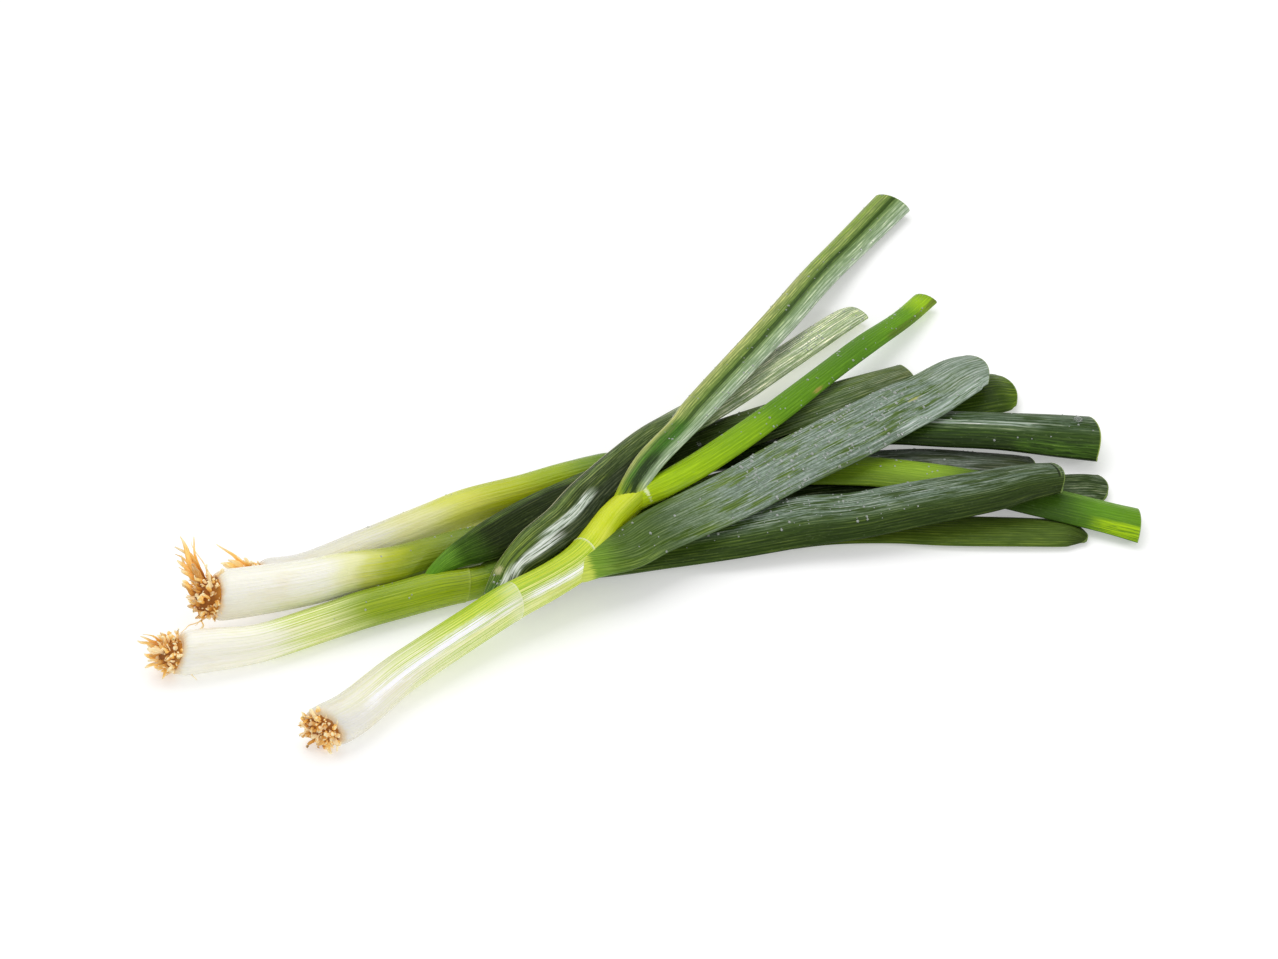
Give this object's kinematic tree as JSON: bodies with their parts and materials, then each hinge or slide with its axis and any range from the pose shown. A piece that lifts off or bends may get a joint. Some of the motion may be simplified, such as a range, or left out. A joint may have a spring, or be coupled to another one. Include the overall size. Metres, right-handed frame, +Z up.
{
  "type": "spring onion bunch",
  "caption": "Loose crossed bunch of spring onions lying on a surface, with short roots, white bulbs, sheathed shafts and trimmed hollow green leaves.",
  "frame": {"origin": "the surface that the bunch lies on, under the middle of its bounding box", "axes": "+X from the roots towards the trimmed leaf tips, +Z up, +Y across the bunch towards its far leaf tips"},
  "size_m": [0.3707, 0.3371, 0.032],
  "materials": {
    "shaft": "satin",
    "roots": "matte",
    "leaf_lime": "satin",
    "leaf_green": "satin",
    "leaf_bloom": "satin",
    "water": "gloss"
  },
  "bodies": {
    "root": {"onion_a_shaft": "shaft", "onion_a_roots": "roots", "onion_a_leaf_1": "leaf_lime", "onion_a_leaf_2": "leaf_green", "onion_a_leaf_3": "leaf_bloom", "onion_a_leaf_4": "leaf_green", "onion_b_shaft": "shaft", "onion_b_roots": "roots", "onion_b_leaf_1": "leaf_green", "onion_b_leaf_2": "leaf_bloom", "onion_b_leaf_3": "leaf_green", "onion_c_shaft": "shaft", "onion_c_roots": "roots", "onion_c_leaf_1": "leaf_lime", "onion_c_leaf_2": "leaf_green", "onion_c_leaf_3": "leaf_green", "onion_d_shaft": "shaft", "onion_d_roots": "roots", "onion_d_leaf_1": "leaf_green", "onion_d_leaf_2": "leaf_green"}
  },
  "joints": []
}
